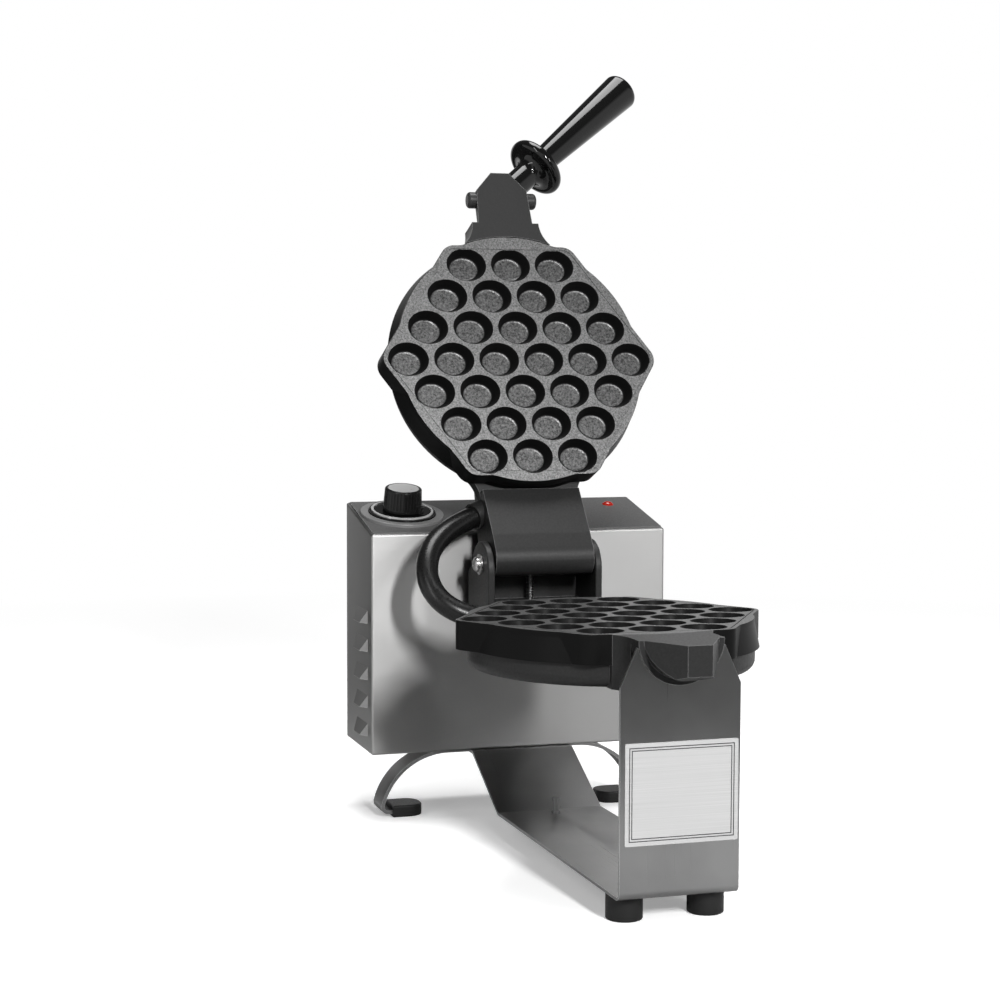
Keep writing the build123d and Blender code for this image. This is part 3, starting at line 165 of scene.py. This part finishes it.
PRINTED_ROUGH = 0.4
PRINTED_HEIGHT = 0.000004
PRINTED_STRENGTH = 0.5

TURNED_SCALE = (2500, 2500, 2500)
TURNED_SHARES = (0.8, 1.25)
TURNED_HEIGHT = 0.00001
TURNED_STRENGTH = 0.3


class Shader:
    """A material's node tree with short calls for the nodes used here."""

    def __init__(self, name, colour, roughness, metallic=0.0, **sockets):
        self.material = bpy.data.materials.new(name)
        self.material.use_nodes = True
        self.tree = self.material.node_tree
        self.principled = self.tree.nodes["Principled BSDF"]
        self.set("Base Color", (*colour, 1.0))
        self.set("Roughness", roughness)
        self.set("Metallic", metallic)
        for socket, value in sockets.items():
            self.set(socket.replace("_", " "), value)

    def set(self, socket, value):
        self.principled.inputs[socket].default_value = value

    def add(self, kind, **values):
        node = self.tree.nodes.new(kind)
        for key, value in values.items():
            setattr(node, key, value)
        return node

    def link(self, source, target):
        self.tree.links.new(source, target)

    def feed(self, socket, value):
        """Links a node's output to one of the shader's own sockets."""
        self.link(value, self.principled.inputs[socket])

    def give(self, value, target):
        """Sets a node's input to a value, or links it where the value is another node's output."""
        if isinstance(value, bpy.types.NodeSocket):
            self.link(value, target)
        else:
            target.default_value = value

    def place(self, scale):
        """Object coordinates stretched by scale."""
        coordinates = self.add("ShaderNodeTexCoord")
        mapping = self.add("ShaderNodeMapping")
        mapping.inputs["Scale"].default_value = scale
        self.link(coordinates.outputs["Object"], mapping.inputs["Vector"])
        return mapping.outputs["Vector"]

    def noise(self, scale, detail=2.0, roughness=0.5):
        node = self.add("ShaderNodeTexNoise")
        node.inputs["Scale"].default_value = 1.0
        node.inputs["Detail"].default_value = detail
        node.inputs["Roughness"].default_value = roughness
        self.link(self.place(scale), node.inputs["Vector"])
        return node.outputs["Fac"]

    def spread(self, value, low, high, span=NOISE_SPAN):
        """Spreads a value's span over low to high."""
        node = self.add("ShaderNodeMapRange")
        node.inputs["From Min"].default_value, node.inputs["From Max"].default_value = span
        node.inputs["To Min"].default_value = low
        node.inputs["To Max"].default_value = high
        self.link(value, node.inputs["Value"])
        return node.outputs["Result"]

    def dot(self, source, other):
        node = self.add("ShaderNodeVectorMath", operation="DOT_PRODUCT")
        for value, target in zip((source, other), node.inputs):
            self.give(value, target)
        return node.outputs["Value"]

    def times(self, one, two):
        node = self.add("ShaderNodeMath", operation="MULTIPLY")
        self.link(one, node.inputs[0])
        self.link(two, node.inputs[1])
        return node.outputs["Value"]

    def facing(self, direction, span):
        """0 to 1 as the surface turns to face along direction, on the piece itself."""
        normal = self.add("ShaderNodeTexCoord").outputs["Normal"]
        return self.spread(self.dot(normal, direction), 0.0, 1.0, span)

    def height(self, direction, span):
        """0 to 1 as a place on the piece goes over the span along direction."""
        place = self.add("ShaderNodeTexCoord").outputs["Object"]
        return self.spread(self.dot(place, direction), 0.0, 1.0, span)

    def edges(self, width):
        """1 along the sharp edges, within a width, and 0 elsewhere."""
        bevel = self.add("ShaderNodeBevel", samples=EDGE_SAMPLES)
        bevel.inputs["Radius"].default_value = width
        normal = self.add("ShaderNodeNewGeometry").outputs["Normal"]
        return self.spread(self.dot(bevel.outputs["Normal"], normal), 1.0, 0.0, EDGE_SPAN)

    def mix(self, factor, low, high):
        """A colour between two, each a colour or a node's output."""
        node = self.add("ShaderNodeMix", data_type="RGBA")
        self.link(factor, node.inputs["Factor"])
        for value, target in ((low, node.inputs["A"]), (high, node.inputs["B"])):
            self.give((*value, 1.0) if isinstance(value, tuple) else value, target)
        return node.outputs["Result"]

    def tint(self, value, low, high, span=NOISE_SPAN):
        """A colour between two, by a noise value."""
        return self.mix(self.spread(value, 0.0, 1.0, span), low, high)

    def uneven(self, value, rough, shares):
        """Roughness that a noise value varies."""
        least, most = shares
        self.feed("Roughness", self.spread(value, rough * least, rough * most))

    def bump(self, value, height, strength):
        node = self.add("ShaderNodeBump")
        node.inputs["Strength"].default_value = strength
        node.inputs["Distance"].default_value = height
        self.link(value, node.inputs["Height"])
        self.feed("Normal", node.outputs["Normal"])


def brushed(name, tone, stretch, rough, turn, cloud=0.06, length=0.75, height=0.000004):
    """Brushed sheet with a painted highlight along its sharp edges. stretch is low along the brush
    lines and high across them, length is how far a highlight is drawn out, and turn is a quarter
    where the lines lie level, because a highlight spreads across them. cloud is how much its tone
    varies."""
    shader = Shader(name, tone, rough, metallic=1.0, Anisotropic=length, Anisotropic_Rotation=turn)
    lines = shader.noise(stretch, **BRUSH_DETAIL)
    clouds = shader.noise(CLOUD_SCALE, detail=BRUSH_DETAIL["detail"])
    ground = shader.tint(clouds, tuple(c * (1 - cloud) for c in tone), tone)
    # The sharp edges are painted pale, a painted highlight where rounded edges would catch the
    # light
    shader.feed("Base Color", shader.mix(shader.edges(EDGE_HIGHLIGHT_WIDTH), ground, EDGE_HIGHLIGHT_TONE))
    shader.uneven(lines, rough, BRUSH_SHARES)
    shader.bump(lines, height, BRUSH_STRENGTH)
    tangent = shader.add("ShaderNodeTangent", direction_type="RADIAL", axis="Z")
    shader.feed("Tangent", tangent.outputs["Tangent"])
    return shader.material


def cast(name, tone, grain_scale, height, rough, edge_wear_and_highlight, edge_width=0.0007):
    """Painted casting: a fine grain, and paler along the edges, partly rubbed paint and partly a
    painted highlight where rounded edges would catch the light.
    """
    shader = Shader(name, grey(tone), rough, Specular_IOR_Level=CAST_SPECULAR)
    grain = shader.noise((grain_scale,) * 3, **CAST_DETAIL)
    ground = shader.tint(grain, grey(tone), grey(tone * CAST_PALER))
    # Paler edges: rubbed paint, and a painted highlight along them
    shader.feed("Base Color", shader.mix(shader.edges(edge_width), ground, grey(edge_wear_and_highlight)))
    shader.uneven(grain, rough, CAST_SHARES)
    shader.bump(grain, height, CAST_STRENGTH)
    return shader.material


def coated(name, node, direction):
    """A mould plate's metallic coat: speckled on the web and on the cavities' floors, which face
    along direction, with the floors darker as painted shade, and near black and smooth on the
    sides, which on the cavities' walls is painted shade."""
    top = max(direction.dot(v.co) for v in nodes[node].data.vertices)
    shader = Shader(name, COAT_SIDE_AND_WALL_SHADE_TONE, COAT_ROUGH[0])
    fine = shader.noise(COAT_FINE_SCALE, **COAT_DETAIL)
    coarse = shader.noise(COAT_COARSE_SCALE, **COAT_DETAIL)
    web = shader.tint(fine, **COAT_WEB)
    floor = shader.tint(coarse, **COAT_SHADED_FLOOR)
    height = shader.height(direction, (top - COAT_FLOOR_BELOW, top - COAT_WEB_BELOW))
    # Darker speckle below the face: painted shade on the cavities' floors
    faces = shader.mix(height, floor, web)
    level = shader.facing(direction, COAT_FACING_SPAN)
    # The sides take the near black tone, which on the cavities' walls is painted shade
    shader.feed("Base Color", shader.mix(level, COAT_SIDE_AND_WALL_SHADE_TONE, faces))
    for socket, (side, face) in (
        ("Roughness", COAT_ROUGH),
        ("Metallic", COAT_METALLIC),
        ("Specular IOR Level", COAT_SPECULAR),
    ):
        shader.feed(socket, shader.spread(level, side, face, WHOLE_SPAN))
    shader.bump(shader.times(coarse, level), COAT_HEIGHT, COAT_STRENGTH)
    return shader.material


def moulded(name, tone, rough, scale=300, height=0.00001, specular=0.5):
    """Moulded plastic or bakelite with very faint unevenness."""
    shader = Shader(name, tone, rough, Specular_IOR_Level=specular)
    faint = shader.noise((scale, scale, scale))
    shader.uneven(faint, rough, MOULDED_SHARES)
    shader.bump(faint, height, MOULDED_STRENGTH)
    return shader.material


def printed(name, low, high, stretch):
    """Pale plate with fine level lines."""
    shader = Shader(name, high, PRINTED_ROUGH)
    lines = shader.noise(stretch, **BRUSH_DETAIL)
    shader.feed("Base Color", shader.tint(lines, low, high))
    shader.bump(lines, PRINTED_HEIGHT, PRINTED_STRENGTH)
    return shader.material


def turned(name, tone, rough, metallic=1.0):
    """Small turned or pressed metal pieces."""
    shader = Shader(name, tone, rough, metallic=metallic)
    fine = shader.noise(TURNED_SCALE)
    shader.uneven(fine, rough, TURNED_SHARES)
    shader.bump(fine, TURNED_HEIGHT, TURNED_STRENGTH)
    return shader.material


def make_materials():
    return {
        "case": brushed(
            "Box steel", (0.38, 0.378, 0.375), ALONG_X, rough=0.41, turn=LEVEL_LINES,
            length=0.72, height=0.00001,
        ),
        "bracket": brushed(
            "Bracket steel", grey(0.36), ALONG_LENGTH, rough=0.29, turn=UPRIGHT_LINES, cloud=0.25,
        ),
        "legs": brushed(
            "Leg steel", grey(0.34), ALONG_LENGTH, rough=0.36, turn=UPRIGHT_LINES, cloud=0.2,
        ),
        "trim": turned("Trim steel", grey(0.20), rough=0.35, metallic=0.2),
        "bead": turned("Bead steel", grey(0.60), rough=0.22, metallic=0.4),
        "panel": cast(
            "Panel paint", 0.07, 900, height=0.00002, rough=0.40, edge_wear_and_highlight=0.30, edge_width=0.0005,
        ),
        "casting": cast("Housing paint", 0.014, 600, height=0.00005, rough=0.42, edge_wear_and_highlight=0.16),
        "lower coat": coated("Lower plate coat", "lower_plate", UP),
        "upper coat": coated("Upper plate coat", "upper_plate", LID_FACE),
        "gloss": moulded("Gloss bakelite", grey(0.004), 0.07, height=0.000002, specular=0.35),
        "knob": moulded("Knob plastic", grey(0.006), 0.22, 900, height=0.00003, specular=0.3),
        "cap": turned("Knob cap", grey(0.50), rough=0.35, metallic=0.2),
        "rubber": moulded("Black rubber", grey(0.010), 0.45, 1200, height=0.00003, specular=0.3),
        "conduit": moulded(
            "Conduit sleeve", grey(0.005), 0.30, 700, height=0.000008, specular=0.3,
        ),
        "matte": moulded(
            "Matte black plastic", grey(0.012), 0.5, 800, height=0.00003, specular=0.3,
        ),
        "screw": turned("Screw steel", (0.50, 0.495, 0.49), rough=0.28),
        "dark steel": turned("Dark steel", grey(0.22), rough=0.35),
        "blackened": cast("Blackened steel", 0.022, 900, height=0.00002, rough=0.35, edge_wear_and_highlight=0.12),
        "bronze": turned("Bush bronze", (0.50, 0.33, 0.15), rough=0.35),
        "element": turned("Heater sheath", (0.20, 0.19, 0.18), rough=0.45),
        "lens": moulded("Red lens", (0.30, 0.012, 0.006), 0.15),
        "label": printed("Label", grey(0.38), grey(0.46), ALONG_LABEL),
        "ink": moulded("Label ink", grey(0.012), 0.5),
    }


NODE_MATERIALS = {
    "case": ("box_shell", "rear_cover"),
    "bracket": ("front_bracket",),
    "legs": ("rear_leg_strap",),
    "trim": ("dial_ring",),
    "bead": ("dial_bead",),
    "panel": ("top_panel",),
    "casting": ("lower_housing", "upper_housing", "bearing_housing"),
    "lower coat": ("lower_plate",),
    "upper coat": ("upper_plate",),
    "gloss": ("handle_guard", "handle_grip", "dial_disc"),
    "knob": ("knob",),
    "cap": ("knob_inlay",),
    "rubber": ("front_feet", "leg_sleeve_left", "leg_sleeve_right"),
    "conduit": ("hose",),
    "matte": (
        "cable_gland", "thermostat_body", "terminal_block", "lamp_body",
        "hose_collar_lower", "hose_collar_upper",
    ),
    "screw": (
        "cover_screws", "bearing_screws", "bracket_screws", "leg_screws", "floor_nuts",
        "foot_screws", "hinge_pin", "hinge_pin_screws", "hinge_washers", "gland_nut",
        "thermostat_spindle",
    ),
    "dark steel": (
        "lower_plate_screws", "upper_plate_screws", "handle_rod", "flip_shaft",
        "shaft_collar", "bracket_stud", "stop_bolt", "stop_spring",
    ),
    "blackened": ("handle_cross_pin",),
    "bronze": ("bearing_bush",),
    "element": ("lower_element", "upper_element"),
    "lens": ("lamp_lens",),
    "label": ("label_plate",),
}


def dress_nodes(materials):
    for name, members in NODE_MATERIALS.items():
        for member in members:
            mesh = nodes[member].data
            mesh.materials.clear()
            mesh.materials.append(materials[name])


def add_object(name, data):
    piece = bpy.data.objects.new(name, data)
    bpy.context.scene.collection.objects.link(piece)
    return piece


def new_mesh(name, vertices, faces, material):
    mesh = bpy.data.meshes.new(name)
    mesh.from_pydata(vertices, [], faces)
    mesh.materials.append(material)
    return add_object(name, mesh)


# Pieces


def conduit_mesh(bevel):
    """The conduit's route as a smooth line, or as a tube where bevel is its radius."""
    curve = bpy.data.curves.new("conduit_route", "CURVE")
    curve.dimensions = "3D"
    curve.resolution_u = CURVE_STEPS
    curve.bevel_depth = bevel
    curve.bevel_resolution = TUBE_STEPS
    curve.use_fill_caps = True
    spline = curve.splines.new("NURBS")
    spline.points.add(len(CONDUIT_POINTS) - 1)
    for point, place in zip(spline.points, CONDUIT_POINTS):
        point.co = (*at(place), 1.0)
    spline.order_u = CURVE_ORDER
    spline.use_endpoint_u = True
    scratch = bpy.data.objects.new("scratch", curve)
    mesh = bpy.data.meshes.new_from_object(scratch)
    bpy.data.objects.remove(scratch)
    return mesh


def make_conduit(materials):
    """The flexible conduit that carries the leads from the lower half to the lid."""
    path = [tuple(v.co) for v in conduit_mesh(0.0).vertices]
    mesh = conduit_mesh(CONDUIT_R * MM)
    mesh.name = "conduit"
    mesh.materials.clear()
    mesh.materials.append(materials["conduit"])
    for face in mesh.polygons:
        face.use_smooth = True
    piece = add_object("conduit", mesh)
    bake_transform(piece)
    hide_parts("hose")


def make_label_lines(materials):
    """Two printed frames on the label plate, one inside the other."""
    low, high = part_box("label_plate")
    front = low.y - LINE_PROUD
    for k, inset in enumerate(LINE_INSETS):
        rings = []
        for gap in (inset, inset + LINE_WIDTH):
            left, right = low.x + gap, high.x - gap
            bottom, top = low.z + gap, high.z - gap
            corners = ((left, bottom), (right, bottom), (right, top), (left, top))
            rings += [(x, front, z) for x, z in corners]
        sides = len(corners)
        faces = [
            (i, (i + 1) % sides, sides + (i + 1) % sides, sides + i) for i in range(sides)
        ]
        piece = new_mesh(f"label_line_{k}", rings, faces, materials["ink"])
        thicken = piece.modifiers.new("thickness", "SOLIDIFY")
        thicken.thickness = LINE_PROUD * 2
        thicken.offset = 0
        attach(piece, "base")


# Stage. The floor's reach, the lights' places and sizes are in metres, and the cards' corners
# in millimetres as in part.py.

MATTE_ROUGH = 0.9
FLOOR_HALF = 30.0
# What the camera sees of the floor, what it throws back, and its own light near the object
FLOOR_TONE = grey(0.95)
FLOOR_BOUNCE = grey(0.45)
FLOOR_GLOW = 0.28
# From the first distance to the second the floor turns from lit to giving its own white
FLOOR_AWAY_SPAN = (0.5, 1.6)

# The world's strength as light, and overhead where it is seen
DIFFUSE_SKY = 0.13
CEILING = 0.10
# The upward part of a direction, from the backdrop's white to the ceiling
CEILING_SPAN = (0.22, 0.42)

CARD_TONE = grey(0.06)
CARDS = (
    ("far_card", ((-1500, -2450, 0), (1900, -2450, 0), (1900, -2450, 700), (-1500, -2450, 700))),
    ("front_card", ((-200, -2400, 2), (1000, -2400, 2), (1000, -720, 2), (-200, -720, 2))),
    ("side_card", ((-900, 430, 0), (-180, 430, 0), (-180, 430, 1000), (-900, 430, 1000))),
)

# Each light's name, place, size and power in watts, all turned to the target
LIGHT_TARGET = Vector((0.0, 0.0, 0.25))
LIGHTS = (
    ("key box", (0.06, -2.1, 1.15), (0.12, 0.45), 54),
    ("second box", (1.02, -1.9, 1.0), (0.16, 0.5), 12),
    ("top box", (0.1, 0.15, 2.0), (1.0, 1.0), 34),
    ("left strip", (-1.3, -0.7, 1.0), (0.2, 1.2), 6),
)


def seen(tree):
    """1 for the rays that show the background: the camera's, and those off or through a surface."""
    rays = tree.nodes.new("ShaderNodeLightPath")
    value = rays.outputs["Is Camera Ray"]
    for name in ("Is Glossy Ray", "Is Transmission Ray"):
        node = tree.nodes.new("ShaderNodeMath")
        node.operation = "MAXIMUM"
        tree.links.new(value, node.inputs[0])
        tree.links.new(rays.outputs[name], node.inputs[1])
        value = node.outputs["Value"]
    return value


def make_floor():
    """A plain pale floor that shows white and keeps the shadow. Away from the object, where no
    shadow falls, it gives its white by itself."""
    half = FLOOR_HALF
    corners = [(-half, -half, 0), (half, -half, 0), (half, half, 0), (-half, half, 0)]
    shader = Shader("Floor", FLOOR_TONE, MATTE_ROUGH, Specular_IOR_Level=0.0)
    place = shader.add("ShaderNodeTexCoord").outputs["Object"]
    reach = shader.add("ShaderNodeVectorMath", operation="LENGTH")
    shader.link(place, reach.inputs[0])
    away = shader.spread(reach.outputs["Value"], 0.0, 1.0, FLOOR_AWAY_SPAN)
    camera_ray = shader.add("ShaderNodeLightPath").outputs["Is Camera Ray"]
    shown = shader.mix(camera_ray, FLOOR_BOUNCE, FLOOR_TONE)
    shader.feed("Base Color", shader.mix(away, shown, BLACK))
    near = shader.spread(camera_ray, 0.0, FLOOR_GLOW, WHOLE_SPAN)
    glow = shader.add("ShaderNodeMix", data_type="FLOAT")
    shader.link(away, glow.inputs["Factor"])
    shader.link(near, glow.inputs["A"])
    shader.link(seen(shader.tree), glow.inputs["B"])
    shader.set("Emission Color", WHITE)
    shader.feed("Emission Strength", glow.outputs["Result"])
    piece = new_mesh("floor", corners, [(0, 1, 2, 3)], shader.material)


def make_cards():
    """Dark cards out of the picture, for steel to reflect. Nothing else shows them."""
    shader = Shader("Card", CARD_TONE, MATTE_ROUGH, Specular_IOR_Level=0.0)
    for name, corners in CARDS:
        piece = new_mesh(name, [at(c) for c in corners], [(0, 1, 2, 3)], shader.material)
        piece.visible_camera = False
        piece.visible_diffuse = False
        piece.visible_shadow = False
        piece.visible_transmission = False


def make_world():
    """A white backdrop under a darker ceiling where the background is seen, and dimmer as light."""
    world = bpy.data.worlds.new("Studio")
    bpy.context.scene.world = world
    world.use_nodes = True
    tree = world.node_tree
    link = tree.links.new
    background = tree.nodes["Background"]
    coordinates = tree.nodes.new("ShaderNodeTexCoord")
    split = tree.nodes.new("ShaderNodeSeparateXYZ")
    shade = tree.nodes.new("ShaderNodeMapRange")
    shade.inputs["From Min"].default_value, shade.inputs["From Max"].default_value = CEILING_SPAN
    shade.inputs["To Min"].default_value = 1.0
    shade.inputs["To Max"].default_value = CEILING
    link(coordinates.outputs["Generated"], split.inputs["Vector"])
    link(split.outputs["Z"], shade.inputs["Value"])
    strength = tree.nodes.new("ShaderNodeMapRange")
    strength.inputs["To Min"].default_value = DIFFUSE_SKY
    link(shade.outputs["Result"], strength.inputs["To Max"])
    link(seen(tree), strength.inputs["Value"])
    background.inputs["Color"].default_value = WHITE
    link(strength.outputs["Result"], background.inputs["Strength"])


def make_lights():
    for name, place, size, power in LIGHTS:
        data = bpy.data.lights.new(name, "AREA")
        data.shape = "RECTANGLE"
        data.size, data.size_y = size
        data.energy = power
        lamp = add_object(name, data)
        lamp.location = place
        aim = LIGHT_TARGET - Vector(place)
        lamp.rotation_euler = aim.to_track_quat("-Z", "Y").to_euler()


def make_camera():
    data = bpy.data.cameras.new("camera")
    data.lens = LENS_MM
    data.sensor_width = SENSOR_MM
    data.clip_start = CLIP_START
    data.clip_end = CLIP_END
    camera = add_object("camera", data)
    turn = Matrix.Rotation(math.radians(CAMERA_AZIMUTH_DEGREES), 4, "Z")
    # An unturned camera looks straight down
    tilt = Matrix.Rotation(math.radians(90.0 - CAMERA_ELEVATION_DEGREES), 4, "X")
    roll = Matrix.Rotation(math.radians(CAMERA_ROLL_DEGREES), 4, "Z")
    camera.matrix_world = Matrix.Translation(at(CAMERA_AT)) @ turn @ tilt @ roll
    bpy.context.scene.camera = camera


made = make_materials()
dress_nodes(made)
make_conduit(made)
make_label_lines(made)
make_floor()
make_cards()
make_world()
make_lights()
make_camera()
bpy.context.scene.view_settings.view_transform = "Standard"
